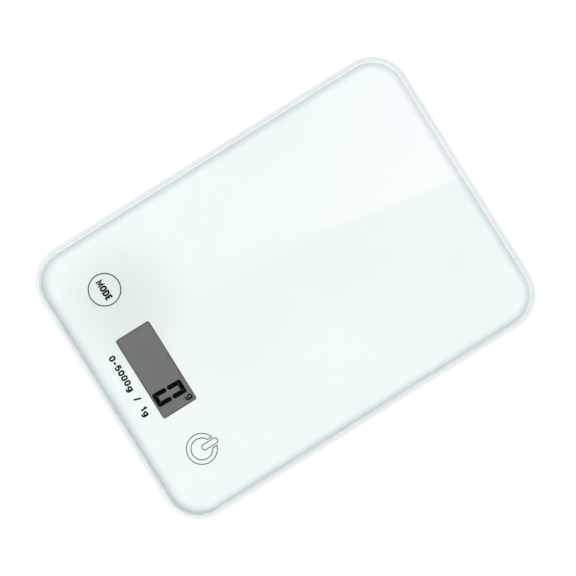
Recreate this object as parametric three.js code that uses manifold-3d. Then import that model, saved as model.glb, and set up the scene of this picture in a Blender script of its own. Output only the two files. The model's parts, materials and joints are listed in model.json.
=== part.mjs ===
// A slim electronic kitchen scale: a tempered-glass weighing platform, printed white on its back,
// bonded into a shallow plastic housing that stands on four load-cell feet. The display and two
// touch keys lie under the glass at the user's end, and two AAA cells sit behind a door below.
//
// Frame: millimetres, +Z up, +Y away from the user, +X to the user's right. The origin is the
// centre of the footprint on the table.
import * as THREE from "three";
import { mergeVertices } from "three/addons/utils/BufferGeometryUtils.js";
import Module from "manifold-3d";

const wasm = await Module();
wasm.setup();

// ---- Driving dimensions ----
const WIDTH = 160;
const LENGTH = 220;
const HEIGHT = 18;
const CORNER_RADIUS = 20;
const CORNER_STEPS = 10; // flats around a quarter turn of the outline

const RIM_WIDTH = 2.2; // what shows of the housing around the glass
const RIM_TOP = HEIGHT - 0.7;
const GLASS_THICKNESS = 4;
const GLASS_GAP = 0.35; // between the glass edge and the lip
const GLASS_CHAMFER = 0.5;
const PRINT_THICKNESS = 0.2;
const TAPE_THICKNESS = 0.5;
const LAYER_GAP = 0.05; // between flat layers that lie on each other

const GLASS_BOTTOM = HEIGHT - GLASS_THICKNESS;
const PRINT_BOTTOM = GLASS_BOTTOM - LAYER_GAP - PRINT_THICKNESS;
const TAPE_BOTTOM = PRINT_BOTTOM - LAYER_GAP - TAPE_THICKNESS;
const LEDGE_TOP = TAPE_BOTTOM - LAYER_GAP;

const HOUSING_BOTTOM = 3.2;
const WALL = 2;
const FLOOR_TOP = HOUSING_BOTTOM + WALL;
const SHOULDER_Z = 12; // where the curved underside meets the upright rim
const SHOULDER_INSET = 13; // how far the flat underside lies inside the rim
const LEDGE_INSET = 4.5;

// Display, keys and board
const KEY_Y = -79.3;
const UNIT_KEY_X = -48.3;
const POWER_KEY_X = 47.4;
const DISPLAY = { x: 0.4, y: -78.4, width: 47.4, height: 20.2 };
const LCD = { width: 53, height: 26, thickness: 2, bottom: 11.6 };
const FRAME_MARGIN = 2.3;
const BOARD = { width: 112, height: 41, y: -78.5, bottom: 9.6, thickness: 1 };
const BOARD_TOP = BOARD.bottom + BOARD.thickness;
const BOARD_SCREW = { x: 18, dy: 18.2 };
const PILOT_RADIUS = 0.8;

// Feet: each is a square cup that carries its load cell, and a boss on the housing bears on the
// cell's tongue
const FOOT = { x: 50, y: 80, side: 34, corner: 8, bottom: 1.2, top: 6.2 };
const FOOT_TRAVEL = 0.5;
const PAD = { side: 29, corner: 6 };
const CELL = { side: 27, corner: 2.5, thickness: 2, fit: 0.3, bottom: 3.95 };
const CELL_TOP = CELL.bottom + CELL.thickness;
const CUP = { cavityFloor: 2.6, cavitySide: 22, ledge: CELL.bottom - LAYER_GAP };
const GAUGE = { width: 8, length: 5, thickness: 0.4, y: -6.5 };
const GAUGE_TOP = CELL_TOP + LAYER_GAP + GAUGE.thickness;
const WELL = { gap: 0.6, wall: 1.5, top: GAUGE_TOP + FOOT_TRAVEL + 0.2, roof: 1.2 };
const BOSS = { radius: 2.6, stem: 1.3, head: 2.4, headThickness: 0.5 };
const LEAD_HOLE = 1.8;

// Battery bay: two AAA cells side by side, along X
const BAY = { x: 0, y: -38, halfX: 26.2, halfY: 11.4, wall: 1.5 };
const BATTERY = { radius: 5.2, length: 44.5, nubRadius: 1.9, nub: 0.8, pitch: 10.8, z: 8.3 };
const BATTERY_SHIFT = 1.15; // each cell sits towards its positive contact
const ISLAND = { left: -37, right: 36, halfY: 16, bottom: 1.6, corner: 4 };
const DOOR = { thickness: 1.3, right: 30.5, halfY: 12.6, gap: 0.3 };
const LATCH = { left: 29.2, right: 30.2, halfY: 4, top: 5.6, hook: 0.5, hookBottom: 4.4 };
const HINGE = { x: -30.5, z: 3.2, pinRadius: 0.7, pinLength: 1.6 };
const BARREL_RADIUS = HINGE.z - ISLAND.bottom;
const CONTACT_THICKNESS = 0.4;
const SPRING_WIRE = 0.35;

// Ribs under the middle of the glass, and the label's recess in the underside
const RIB = { thickness: 1.6, y: 30, halfX: 70, front: -20, back: 100 };
const ARCH = { x: 40, halfWidth: 3, height: 3.5 };
const LABEL = { y: 45, halfX: 26, halfY: 13, corner: 1.5, recess: 0.3, thickness: 0.2, gap: 0.5 };

// Leads
const GAUGE_LEAD_RADIUS = 0.4;
const BATTERY_LEAD_RADIUS = 0.6;
const LEAD_SIDES = 6;

// ---- Materials ----
const plastic = (color, roughness = 0.45) =>
  new THREE.MeshStandardMaterial({ color, roughness, metalness: 0 });
const metal = (color, roughness = 0.3) =>
  new THREE.MeshStandardMaterial({ color, roughness, metalness: 1 });

const glassMaterial = new THREE.MeshStandardMaterial({
  color: 0xe6f4f1,
  roughness: 0.05,
  metalness: 0,
  transparent: true,
  opacity: 0.35,
});
const printMaterial = plastic(0xeef8f6, 0.6);
const tapeMaterial = plastic(0xd8dcdc, 0.9);
const housingMaterial = plastic(0xeceff7, 0.35);
const lcdMaterial = plastic(0x747574, 0.3);
const blackMaterial = plastic(0x1b1c1e, 0.8);
const boardMaterial = plastic(0x1f6b3a, 0.5);
const rubberMaterial = plastic(0xc9ccd0, 0.9);
const siliconeMaterial = plastic(0xf2f2ee, 0.7);
const jacketMaterial = plastic(0x2c3e6b, 0.45);
const labelMaterial = plastic(0xd9dbde, 0.5);
const redMaterial = plastic(0xb3262a, 0.5);
const steelMaterial = metal(0xb9bcc0, 0.35);
const springMaterial = metal(0xd2d0c4, 0.25);

// ---- Solids: three.js makes the shapes, and manifold-3d joins and cuts them ----

/** A closed three.js geometry as a manifold solid. */
function solid(geometry) {
  const bare = geometry.index ? geometry.toNonIndexed() : geometry.clone();
  bare.deleteAttribute("normal");
  bare.deleteAttribute("uv");
  const merged = mergeVertices(bare, 1e-4);
  return new wasm.Manifold(
    new wasm.Mesh({
      numProp: 3,
      vertProperties: merged.attributes.position.array,
      triVerts: new Uint32Array(merged.index.array),
    }),
  );
}

/** A manifold solid as a flat-shaded three.js geometry. */
function geometryOf(body) {
  const mesh = body.getMesh();
  const positions = new Float32Array(mesh.numVert * 3);
  for (let i = 0; i < mesh.numVert; i++) {
    const start = i * mesh.numProp;
    positions.set(mesh.vertProperties.subarray(start, start + 3), i * 3);
  }
  const geometry = new THREE.BufferGeometry();
  geometry.setAttribute("position", new THREE.BufferAttribute(positions, 3));
  geometry.setIndex(new THREE.BufferAttribute(mesh.triVerts, 1));
  const flat = geometry.toNonIndexed();
  flat.computeVertexNormals();
  return flat;
}

const join = (first, ...rest) => rest.reduce((all, next) => all.add(next), first);
const cut = (body, ...tools) => tools.reduce((left, tool) => left.subtract(tool), body);

/** A rectangle with round corners, centred on (x, y), as a THREE.Shape. */
function roundedRectangle(halfX, halfY, radius, x = 0, y = 0) {
  const shape = new THREE.Shape();
  shape.absarc(x + halfX - radius, y + halfY - radius, radius, 0, Math.PI / 2);
  shape.absarc(x - halfX + radius, y + halfY - radius, radius, Math.PI / 2, Math.PI);
  shape.absarc(x - halfX + radius, y - halfY + radius, radius, Math.PI, 1.5 * Math.PI);
  shape.absarc(x + halfX - radius, y - halfY + radius, radius, 1.5 * Math.PI, 2 * Math.PI);
  shape.closePath();
  return shape;
}

function circle(radius, x = 0, y = 0) {
  const shape = new THREE.Shape();
  shape.absarc(x, y, radius, 0, 2 * Math.PI);
  return shape;
}

/** three.js lays two flats along an arc for each curve segment. */
const segmentsFor = (flats) => Math.ceil(flats / 2);

/** A shape extruded upwards from one height to another, with so many flats along each arc. */
function extruded(shape, bottom, top, flats = CORNER_STEPS) {
  const geometry = new THREE.ExtrudeGeometry(shape, {
    depth: top - bottom,
    bevelEnabled: false,
    curveSegments: segmentsFor(flats),
  });
  return geometry.translate(0, 0, bottom);
}

const prism = (...args) => solid(extruded(...args));
const disc = (radius, bottom, top, x = 0, y = 0, flats = 28) =>
  prism(circle(radius, x, y), bottom, top, flats);

/** A box between two corners. */
function block([x0, y0, z0], [x1, y1, z1]) {
  const box = new THREE.BoxGeometry(x1 - x0, y1 - y0, z1 - z0);
  return solid(box.translate((x0 + x1) / 2, (y0 + y1) / 2, (z0 + z1) / 2));
}

/** A rounded cylinder lying along Y between two ends. */
function rodAlongY(radius, x, z, from, to, sides = 20) {
  const rod = new THREE.CylinderGeometry(radius, radius, to - from, sides);
  return solid(rod.translate(x, (from + to) / 2, z));
}

/** One level of the housing's form: the outline drawn in by inset, at height z. */
function outlineLevel(inset, z) {
  const shape = roundedRectangle(
    WIDTH / 2 - inset,
    LENGTH / 2 - inset,
    CORNER_RADIUS - inset,
  );
  const points = shape.extractPoints(segmentsFor(CORNER_STEPS)).shape;
  return points.map((p) => new THREE.Vector3(p.x, p.y, z));
}

/** A closed skin through a stack of levels, each a ring with the same number of points. */
function loft(levels) {
  const count = levels[0].length;
  const positions = [];
  const triangle = (a, b, c) => positions.push(...a.toArray(), ...b.toArray(), ...c.toArray());
  for (let i = 0; i + 1 < levels.length; i++) {
    for (let k = 0; k < count; k++) {
      const next = (k + 1) % count;
      triangle(levels[i][k], levels[i][next], levels[i + 1][next]);
      triangle(levels[i][k], levels[i + 1][next], levels[i + 1][k]);
    }
  }
  const bottom = levels[0];
  const top = levels[levels.length - 1];
  const bottomCentre = new THREE.Vector3(0, 0, bottom[0].z);
  const topCentre = new THREE.Vector3(0, 0, top[0].z);
  for (let k = 0; k < count; k++) {
    const next = (k + 1) % count;
    triangle(bottomCentre, bottom[next], bottom[k]);
    triangle(topCentre, top[k], top[next]);
  }
  const geometry = new THREE.BufferGeometry();
  geometry.setAttribute("position", new THREE.Float32BufferAttribute(positions, 3));
  return solid(geometry);
}

/** A round tube along a curve. */
function tube(curve, radius, steps, sides) {
  const corners = Array.from({ length: sides }, (_, i) => {
    const angle = (2 * Math.PI * i) / sides;
    return new THREE.Vector2(radius * Math.cos(angle), radius * Math.sin(angle));
  });
  const section = new THREE.Shape(corners);
  return new THREE.ExtrudeGeometry(section, { steps, extrudePath: curve, curveSegments: 1 });
}

/** A coil spring's centre line, standing on the XY plane. */
class Helix extends THREE.Curve {
  constructor(bottomRadius, topRadius, height, turns) {
    super();
    Object.assign(this, { bottomRadius, topRadius, height, turns });
  }
  getPoint(t, target = new THREE.Vector3()) {
    const radius = THREE.MathUtils.lerp(this.bottomRadius, this.topRadius, t);
    const angle = 2 * Math.PI * this.turns * t;
    return target.set(radius * Math.cos(angle), radius * Math.sin(angle), this.height * t);
  }
}

function coil(bottomRadius, topRadius, height, turns, wireRadius) {
  const stepsPerTurn = 12;
  const helix = new Helix(bottomRadius, topRadius, height, turns);
  return tube(helix, wireRadius, Math.round(turns * stepsPerTurn), 5);
}

function piece(name, geometry, material, place = [0, 0, 0]) {
  const mesh = new THREE.Mesh(geometry, material);
  mesh.name = name;
  mesh.position.set(...place);
  return mesh;
}

// ---- Platform ----

function glassPlatform() {
  const halfX = WIDTH / 2 - RIM_WIDTH - GLASS_CHAMFER;
  const halfY = LENGTH / 2 - RIM_WIDTH - GLASS_CHAMFER;
  const radius = CORNER_RADIUS - RIM_WIDTH - GLASS_CHAMFER;
  const geometry = new THREE.ExtrudeGeometry(roundedRectangle(halfX, halfY, radius), {
    depth: GLASS_THICKNESS - 2 * GLASS_CHAMFER,
    bevelThickness: GLASS_CHAMFER,
    bevelSize: GLASS_CHAMFER,
    bevelSegments: 2,
    curveSegments: segmentsFor(CORNER_STEPS),
  });
  return piece("glass_platform", geometry, glassMaterial, [0, 0, GLASS_BOTTOM + GLASS_CHAMFER]);
}

/** The opaque white print, with a clear window over the display. */
function backPrint() {
  const inset = RIM_WIDTH + GLASS_CHAMFER;
  const sheet = roundedRectangle(WIDTH / 2 - inset, LENGTH / 2 - inset, CORNER_RADIUS - inset);
  const windowRadius = 1;
  sheet.holes.push(
    roundedRectangle(
      DISPLAY.width / 2,
      DISPLAY.height / 2,
      windowRadius,
      DISPLAY.x,
      DISPLAY.y,
    ),
  );
  return piece("back_print", extruded(sheet, 0, PRINT_THICKNESS), printMaterial, [
    0,
    0,
    PRINT_BOTTOM,
  ]);
}

/** Double-sided tape that bonds the platform to the housing's ledge. */
function bondingTape() {
  const outer = RIM_WIDTH + 0.3;
  const inner = LEDGE_INSET + 0.1;
  const ring = roundedRectangle(WIDTH / 2 - outer, LENGTH / 2 - outer, CORNER_RADIUS - outer);
  ring.holes.push(
    roundedRectangle(WIDTH / 2 - inner, LENGTH / 2 - inner, CORNER_RADIUS - inner),
  );
  return piece("bonding_tape", extruded(ring, 0, TAPE_THICKNESS), tapeMaterial, [
    0,
    0,
    TAPE_BOTTOM,
  ]);
}

// ---- Housing ----

/** Levels of a quarter ellipse from the flat underside up to the shoulder, thickness inside. */
function undersideLevels(thickness, steps) {
  const rise = SHOULDER_Z - HOUSING_BOTTOM - thickness;
  const reach = SHOULDER_INSET - thickness;
  return Array.from({ length: steps + 1 }, (_, i) => {
    const angle = (i / steps) * (Math.PI / 2);
    return {
      inset: SHOULDER_INSET - reach * Math.sin(angle),
      z: SHOULDER_Z - rise * Math.cos(angle),
    };
  });
}

function housingOutside() {
  const edge = 0.7;
  const levels = undersideLevels(0, 8).map(({ inset, z }) => outlineLevel(inset, z));
  levels.push(outlineLevel(0, RIM_TOP - edge));
  levels.push(outlineLevel(0.3 * edge, RIM_TOP - 0.3 * edge));
  levels.push(outlineLevel(edge, RIM_TOP));
  return loft(levels);
}

function housingInside() {
  const levels = undersideLevels(WALL, 7).map(({ inset, z }) =>
    outlineLevel(Math.max(inset, LEDGE_INSET), z),
  );
  levels.push(outlineLevel(LEDGE_INSET, LEDGE_TOP + 1));
  return loft(levels);
}

function glassRecess() {
  const inset = RIM_WIDTH - GLASS_GAP;
  return loft([outlineLevel(inset, LEDGE_TOP), outlineLevel(inset, HEIGHT + 1)]);
}

const footPlaces = [
  { name: "front_left", x: -FOOT.x, y: -FOOT.y },
  { name: "front_right", x: FOOT.x, y: -FOOT.y },
  { name: "back_left", x: -FOOT.x, y: FOOT.y },
  { name: "back_right", x: FOOT.x, y: FOOT.y },
];

const screwPlaces = [-1, 1].flatMap((sx) =>
  [-1, 1].map((sy) => [sx * BOARD_SCREW.x, BOARD.y + sy * BOARD_SCREW.dy]),
);

/** Where a place in a foot unit's own frame lies in the scale. The back units are not turned. */
const inUnit = ({ x, y }, dx, dy) => (y > 0 ? [x + dx, y + dy] : [x - dx, y - dy]);

/** The raised seat inside the housing over each foot. */
function wellSeat({ x, y }) {
  const half = FOOT.side / 2 + WELL.gap + WELL.wall;
  const shape = roundedRectangle(half, half, FOOT.corner + WELL.gap + WELL.wall, x, y);
  return prism(shape, HOUSING_BOTTOM + 0.5, WELL.top + WELL.roof, 6);
}

/** The well that the foot moves in, and the hole in its roof for the gauge's lead. */
function wellCut(foot) {
  const half = FOOT.side / 2 + WELL.gap;
  const shape = roundedRectangle(half, half, FOOT.corner + WELL.gap, foot.x, foot.y);
  const [holeX, holeY] = inUnit(foot, 0, GAUGE.y);
  const hole = disc(LEAD_HOLE, WELL.top - 1, WELL.top + WELL.roof + 1, holeX, holeY, 12);
  return join(prism(shape, 0, WELL.top, 6), hole);
}

/** The boss that bears on the cell's tongue; its stem goes through and is headed over below. */
function cellBoss({ x, y }) {
  const { radius, stem, head, headThickness } = BOSS;
  const headTop = CELL.bottom - LAYER_GAP;
  return join(
    disc(radius, CELL_TOP + LAYER_GAP, WELL.top + 0.5, x, y, 16),
    disc(stem, headTop - 0.2, CELL_TOP + 1, x, y, 12),
    disc(head, headTop - headThickness, headTop, x, y, 16),
  );
}

function bayWalls() {
  const { x, y, halfX, halfY, wall } = BAY;
  return block(
    [x - halfX - wall, y - halfY - wall, FLOOR_TOP - 1],
    [x + halfX + wall, y + halfY + wall, LEDGE_TOP],
  );
}

/** The flat island that stands below the underside around the battery door. */
function bayIsland() {
  const centre = (ISLAND.left + ISLAND.right) / 2;
  const halfX = (ISLAND.right - ISLAND.left) / 2;
  const shape = roundedRectangle(halfX, ISLAND.halfY, ISLAND.corner, centre, BAY.y);
  return prism(shape, ISLAND.bottom, FLOOR_TOP - 0.5, 6);
}

/** Cover over the latch tab, beside the bay. */
function latchCover() {
  const wall = 1.3;
  return block(
    [BAY.x + BAY.halfX, BAY.y - LATCH.halfY - 2, FLOOR_TOP - 1],
    [LATCH.right + 2.2, BAY.y + LATCH.halfY + 2, LATCH.top + wall],
  );
}

/** Cover over the hinge barrel, where it rises above the housing's floor. */
function hingeCover() {
  const side = BARREL_RADIUS + 2.2;
  const reach = DOOR.halfY + 3.5;
  return block(
    [HINGE.x - side, BAY.y - reach, FLOOR_TOP - 1],
    [BAY.x - BAY.halfX, BAY.y + reach, HINGE.z + BARREL_RADIUS + 1.5],
  );
}

/** Everything cut from the housing for the cells, the door, its hinge and its finger notch. */
function bayCuts() {
  const { x, y, halfX, halfY } = BAY;
  const doorTop = ISLAND.bottom + DOOR.thickness;
  const reach = DOOR.halfY + DOOR.gap;
  const barrelRoom = BARREL_RADIUS + DOOR.gap;
  const cells = block([x - halfX, y - halfY, 0], [x + halfX, y + halfY, LEDGE_TOP + 1]);
  const doorRecess = block(
    [HINGE.x, y - reach, 0],
    [DOOR.right + DOOR.gap, y + reach, doorTop + 0.2],
  );
  const barrel = join(
    rodAlongY(barrelRoom, HINGE.x, HINGE.z, y - reach, y + reach, 32),
    block([HINGE.x - barrelRoom, y - reach, 0], [HINGE.x + barrelRoom, y + reach, HINGE.z]),
  );
  const pinReach = reach + HINGE.pinLength;
  const pins = rodAlongY(
    HINGE.pinRadius + 0.3,
    HINGE.x,
    HINGE.z,
    y - pinReach,
    y + pinReach,
    16,
  );
  const latchRoom = block(
    [LATCH.left - 1, y - LATCH.halfY - 0.6, 0],
    [LATCH.right + LATCH.hook + 0.4, y + LATCH.halfY + 0.6, LATCH.top + 0.3],
  );
  const notch = disc(6, 0, doorTop, DOOR.right, y, 24);
  return [cells, doorRecess, barrel, pins, latchRoom, notch];
}

/** Notches in the bay's left wall that let the two battery leads out. */
function leadNotches() {
  return [-1, 1].map((side) => {
    const y = BAY.y + (side * BATTERY.pitch) / 2;
    return block([-BAY.halfX - BAY.wall - 1, y - 1.4, 10.4], [-BAY.halfX + 1, y + 1.4, HEIGHT]);
  });
}

/** Ribs that carry the middle of the glass, with arches for the rear leads. */
function ribs() {
  const half = RIB.thickness / 2;
  const across = block(
    [-RIB.halfX, RIB.y - half, FLOOR_TOP - 1],
    [RIB.halfX, RIB.y + half, LEDGE_TOP],
  );
  const along = block([-half, RIB.front, FLOOR_TOP - 1], [half, RIB.back, LEDGE_TOP]);
  const arches = [-1, 1].map((side) =>
    block(
      [side * ARCH.x - ARCH.halfWidth, RIB.y - 2 * half, FLOOR_TOP],
      [side * ARCH.x + ARCH.halfWidth, RIB.y + 2 * half, FLOOR_TOP + ARCH.height],
    ),
  );
  return cut(join(across, along), ...arches);
}

function screwBoss([x, y]) {
  return disc(3, FLOOR_TOP - 1, BOARD.bottom - LAYER_GAP, x, y, 16);
}

const pilotHole = ([x, y]) => disc(PILOT_RADIUS, FLOOR_TOP + 0.6, BOARD.bottom + 1, x, y, 10);

function labelRecess() {
  const shape = roundedRectangle(LABEL.halfX, LABEL.halfY, LABEL.corner, 0, LABEL.y);
  return prism(shape, HOUSING_BOTTOM - 1, HOUSING_BOTTOM + LABEL.recess, 3);
}

function housing() {
  const shell = cut(housingOutside(), glassRecess(), housingInside());
  const added = [
    ...footPlaces.map(wellSeat),
    ...screwPlaces.map(screwBoss),
    bayWalls(),
    bayIsland(),
    hingeCover(),
    latchCover(),
    ribs(),
  ];
  const cuts = [
    ...footPlaces.map(wellCut),
    ...screwPlaces.map(pilotHole),
    ...bayCuts(),
    ...leadNotches(),
    labelRecess(),
  ];
  const tray = cut(join(shell, ...added), ...cuts);
  const bosses = footPlaces.map(cellBoss);
  return piece("housing", geometryOf(join(tray, ...bosses)), housingMaterial);
}

function ratingLabel() {
  const { y, halfX, halfY, corner, thickness, gap } = LABEL;
  const sheet = roundedRectangle(halfX - gap, halfY - gap, corner - gap / 2);
  const place = [0, y, HOUSING_BOTTOM + LAYER_GAP];
  return piece("rating_label", extruded(sheet, 0, thickness, 3), labelMaterial, place);
}

// ---- Display, keys and board ----

function lcdPanel() {
  const sheet = roundedRectangle(LCD.width / 2, LCD.height / 2, 0.5);
  const place = [DISPLAY.x, DISPLAY.y, LCD.bottom];
  return piece("lcd_panel", extruded(sheet, 0, LCD.thickness, 2), lcdMaterial, place);
}

/** The frame that holds the panel square over the board. */
function lcdFrame() {
  const fit = 0.3;
  const halfX = LCD.width / 2 + fit;
  const halfY = LCD.height / 2 + fit;
  const shape = roundedRectangle(halfX + FRAME_MARGIN, halfY + FRAME_MARGIN, 1.5);
  shape.holes.push(roundedRectangle(halfX, halfY, 0.8));
  const bottom = BOARD_TOP + LAYER_GAP;
  const height = LCD.bottom + LCD.thickness - bottom;
  return piece("lcd_frame", extruded(shape, 0, height, 3), blackMaterial, [
    DISPLAY.x,
    DISPLAY.y,
    bottom,
  ]);
}

/** The striped rubber connector between the board and the panel's contact ledge. */
function lcdConnector() {
  const height = LCD.bottom - BOARD_TOP - 2 * LAYER_GAP;
  const geometry = new THREE.BoxGeometry(LCD.width - 5, 1.8, height);
  const place = [DISPLAY.x, DISPLAY.y + LCD.height / 2 - 2, BOARD_TOP + LAYER_GAP + height / 2];
  return piece("lcd_connector", geometry, rubberMaterial, place);
}

function mainBoard() {
  const sheet = roundedRectangle(BOARD.width / 2, BOARD.height / 2, 2);
  for (const [x, y] of screwPlaces) sheet.holes.push(circle(1.2, x, y - BOARD.y));
  const place = [0, BOARD.y, BOARD.bottom];
  return piece("main_board", extruded(sheet, 0, BOARD.thickness, 5), boardMaterial, place);
}

/** The controller, bonded under the board and covered with a drop of epoxy. */
function controllerChip() {
  const radius = 5.5;
  const height = 1.3;
  const profile = [
    [0, 0],
    [radius, 0],
    [0.85 * radius, -0.55 * height],
    [0.5 * radius, -0.9 * height],
    [0, -height],
  ].map(([x, y]) => new THREE.Vector2(x, y));
  const dome = new THREE.LatheGeometry(profile.reverse(), 20).rotateX(Math.PI / 2);
  const place = [0, BOARD.y, BOARD.bottom - LAYER_GAP];
  return piece("controller_chip", dome, blackMaterial, place);
}

/** The coil that carries a touch key's charge from the board to the back of the glass. */
function touchSpring(name, x) {
  const foot = BOARD_TOP + LAYER_GAP + SPRING_WIRE;
  const height = PRINT_BOTTOM - LAYER_GAP - SPRING_WIRE - foot;
  const geometry = coil(4.2, 3.4, height, 3, SPRING_WIRE);
  return piece(name, geometry, springMaterial, [x, KEY_Y, foot]);
}

function boardScrew([x, y], index) {
  const shank = disc(PILOT_RADIUS - 0.05, -3.6, 0.1, 0, 0, 8);
  const head = new THREE.CylinderGeometry(1.4, 1.9, 1.1, 16);
  const slot = (turn) =>
    block([-1.1, -0.2, 0.6], [1.1, 0.2, 2]).rotate([0, 0, turn]);
  const cap = solid(head.rotateX(Math.PI / 2).translate(0, 0, 0.55));
  const body = cut(join(shank, cap), slot(0), slot(90));
  const place = [x, y, BOARD_TOP + LAYER_GAP];
  return piece(`board_screw_${index + 1}`, geometryOf(body), steelMaterial, place);
}

// ---- Feet: each carries its own load cell ----

function footPad() {
  const edge = 0.4;
  const half = PAD.side / 2 - edge;
  const geometry = new THREE.ExtrudeGeometry(roundedRectangle(half, half, PAD.corner - edge), {
    depth: FOOT.bottom - LAYER_GAP - 2 * edge,
    bevelThickness: edge,
    bevelSize: edge,
    bevelSegments: 1,
    curveSegments: 3,
  });
  return geometry.translate(0, 0, edge);
}

/** The cup: a ledge carries the load cell's frame, over a cavity that its tongue bends into. */
function footCup() {
  const edge = 0.8;
  const half = FOOT.side / 2;
  const body = join(
    prism(roundedRectangle(half, half, FOOT.corner), FOOT.bottom + edge, FOOT.top, 6),
    prism(
      roundedRectangle(half - edge / 2, half - edge / 2, FOOT.corner - edge / 2),
      FOOT.bottom + edge / 4,
      FOOT.bottom + 2 * edge,
      6,
    ),
    prism(
      roundedRectangle(half - edge, half - edge, FOOT.corner - edge),
      FOOT.bottom,
      FOOT.bottom + 2 * edge,
      6,
    ),
  );
  const pocketHalf = CELL.side / 2 + CELL.fit;
  const pocket = roundedRectangle(pocketHalf, pocketHalf, CELL.corner);
  const cavity = roundedRectangle(CUP.cavitySide / 2, CUP.cavitySide / 2, 2);
  return geometryOf(
    cut(
      body,
      prism(pocket, CUP.ledge, FOOT.top + 1, 4),
      prism(cavity, CUP.cavityFloor, FOOT.top, 4),
    ),
  );
}

/** A steel plate with a U-shaped slot, which leaves a tongue that bends under load. */
function loadCell() {
  const plate = roundedRectangle(CELL.side / 2, CELL.side / 2, CELL.corner);
  const [inner, outer, root, tip] = [5.5, 7.5, -9, 7];
  const slot = new THREE.Path(
    [
      [-outer, root],
      [-inner, root],
      [-inner, tip],
      [inner, tip],
      [inner, root],
      [outer, root],
      [outer, tip + outer - inner],
      [-outer, tip + outer - inner],
    ].map(([x, y]) => new THREE.Vector2(x, y)),
  );
  plate.holes.push(slot, circle(BOSS.stem + 0.5));
  return extruded(plate, 0, CELL.thickness, 8);
}

function strainGauge() {
  const pad = roundedRectangle(GAUGE.width / 2, GAUGE.length / 2, 1.2, 0, GAUGE.y);
  return extruded(pad, 0, GAUGE.thickness, 3);
}

/** One foot with its load cell. The tongue's root faces the middle of the scale's length. */
function footUnit({ name, x, y }) {
  const unit = new THREE.Group();
  unit.position.set(x, y, 0);
  unit.rotation.z = y > 0 ? 0 : Math.PI;
  unit.add(
    piece(`foot_pad_${name}`, footPad(), rubberMaterial),
    piece(`foot_cup_${name}`, footCup(), housingMaterial),
    piece(`load_cell_${name}`, loadCell(), steelMaterial, [0, 0, CELL.bottom]),
    piece(`strain_gauge_${name}`, strainGauge(), siliconeMaterial, [0, 0, CELL_TOP + LAYER_GAP]),
  );
  return unit;
}

// ---- Battery bay ----

/** An AAA cell along X, with its positive nub at +X. */
function batteryGeometry() {
  const { radius, length, nubRadius, nub } = BATTERY;
  const edge = 0.4;
  const profile = [
    [0, 0],
    [radius - edge, 0],
    [radius, edge],
    [radius, length - nub - edge],
    [radius - edge, length - nub],
    [nubRadius, length - nub],
    [nubRadius, length],
    [0, length],
  ].map(([x, y]) => new THREE.Vector2(x, y));
  const lathe = new THREE.LatheGeometry(profile, 24);
  return lathe.rotateZ(-Math.PI / 2).translate(-length / 2, 0, 0);
}

/** A cell in the bay: side -1 is the row nearer the user, whose positive end faces +X. */
function battery(name, side) {
  const mesh = piece(name, batteryGeometry(), jacketMaterial, [
    -side * BATTERY_SHIFT,
    BAY.y + (side * BATTERY.pitch) / 2,
    BATTERY.z,
  ]);
  mesh.rotation.z = side < 0 ? 0 : Math.PI;
  return mesh;
}

/** A flat contact plate against an end wall, facing +X, at x = 0. */
function contactPlate(halfY, y = 0) {
  const foot = -4;
  const head = 4;
  return block([0, y - halfY, foot], [CONTACT_THICKNESS, y + halfY, head]);
}

/** The raised button that meets a positive nub, facing +X. */
function contactButton(y = 0) {
  const rise = 2.35;
  const button = new THREE.CylinderGeometry(1.2, 2.2, rise, 16).rotateZ(-Math.PI / 2);
  return solid(button.translate(CONTACT_THICKNESS / 2 + rise / 2, y, 0));
}

/** The spring that meets a negative end, facing +X. */
function contactSpring(y = 0) {
  const length = 4.1;
  const spring = coil(3.6, 2.2, length, 2.5, SPRING_WIRE).rotateY(Math.PI / 2);
  return solid(spring.translate(CONTACT_THICKNESS, y, 0));
}

/** The three contacts: two single ones on the left wall and the bridge on the right wall. */
function batteryContacts() {
  const wallX = BAY.halfX - 0.2;
  const rowY = BATTERY.pitch / 2;
  const negative = piece(
    "contact_negative",
    geometryOf(join(contactPlate(4.4), contactSpring())),
    springMaterial,
    [-wallX, BAY.y - rowY, BATTERY.z],
  );
  const positive = piece(
    "contact_positive",
    geometryOf(join(contactPlate(4.4), contactButton())),
    springMaterial,
    [-wallX, BAY.y + rowY, BATTERY.z],
  );
  const bridge = piece(
    "contact_bridge",
    geometryOf(join(contactPlate(10), contactSpring(-rowY), contactButton(rowY))),
    springMaterial,
    [wallX, BAY.y, BATTERY.z],
  );
  bridge.rotation.z = Math.PI;
  return [negative, positive, bridge];
}

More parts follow.
